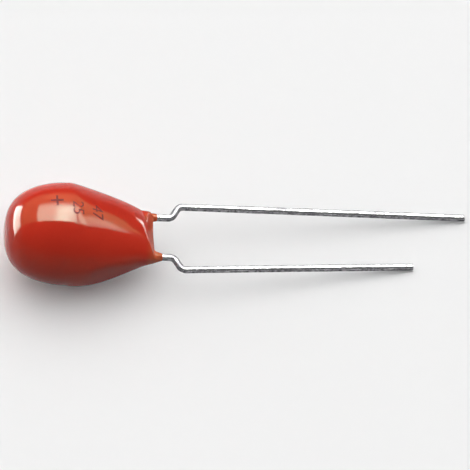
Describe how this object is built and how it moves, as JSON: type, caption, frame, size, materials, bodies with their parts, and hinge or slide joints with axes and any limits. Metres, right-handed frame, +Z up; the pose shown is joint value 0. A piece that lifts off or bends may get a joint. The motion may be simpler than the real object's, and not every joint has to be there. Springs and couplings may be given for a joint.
{
  "type": "dipped tantalum capacitor",
  "caption": "Radial-lead solid tantalum capacitor: a drop of dipped resin over a sintered anode and its cathode layers, with crimped wire leads.",
  "frame": {"origin": "centre of the bottom of the bounding box, on the table that the part lies on", "axes": "+X from the resin drop towards the tips of the leads, +Z up from the table, +Y on the side of the positive lead"},
  "size_m": [0.0332, 0.0073, 0.0073],
  "materials": {
    "resin": "glossy orange-red dipped epoxy resin",
    "tinned_wire": "bright tinned wire, slightly mottled",
    "sintered_tantalum": "dull porous sintered metal",
    "tantalum_wire": "drawn blue-grey metal",
    "white_washer": "smooth white fluoropolymer",
    "manganese_dioxide": "matte brown-black crust",
    "graphite": "satin black",
    "silver": "satin silver paint",
    "solder": "bright solder"
  },
  "bodies": {
    "root": {"resin_coating": "resin", "positive_lead": "tinned_wire", "negative_lead": "tinned_wire", "anode_pellet": "sintered_tantalum", "riser_wire": "tantalum_wire", "insulating_washer": "white_washer", "manganese_dioxide_layer": "manganese_dioxide", "graphite_layer": "graphite", "silver_layer": "silver", "solder_joint": "solder"}
  },
  "joints": []
}
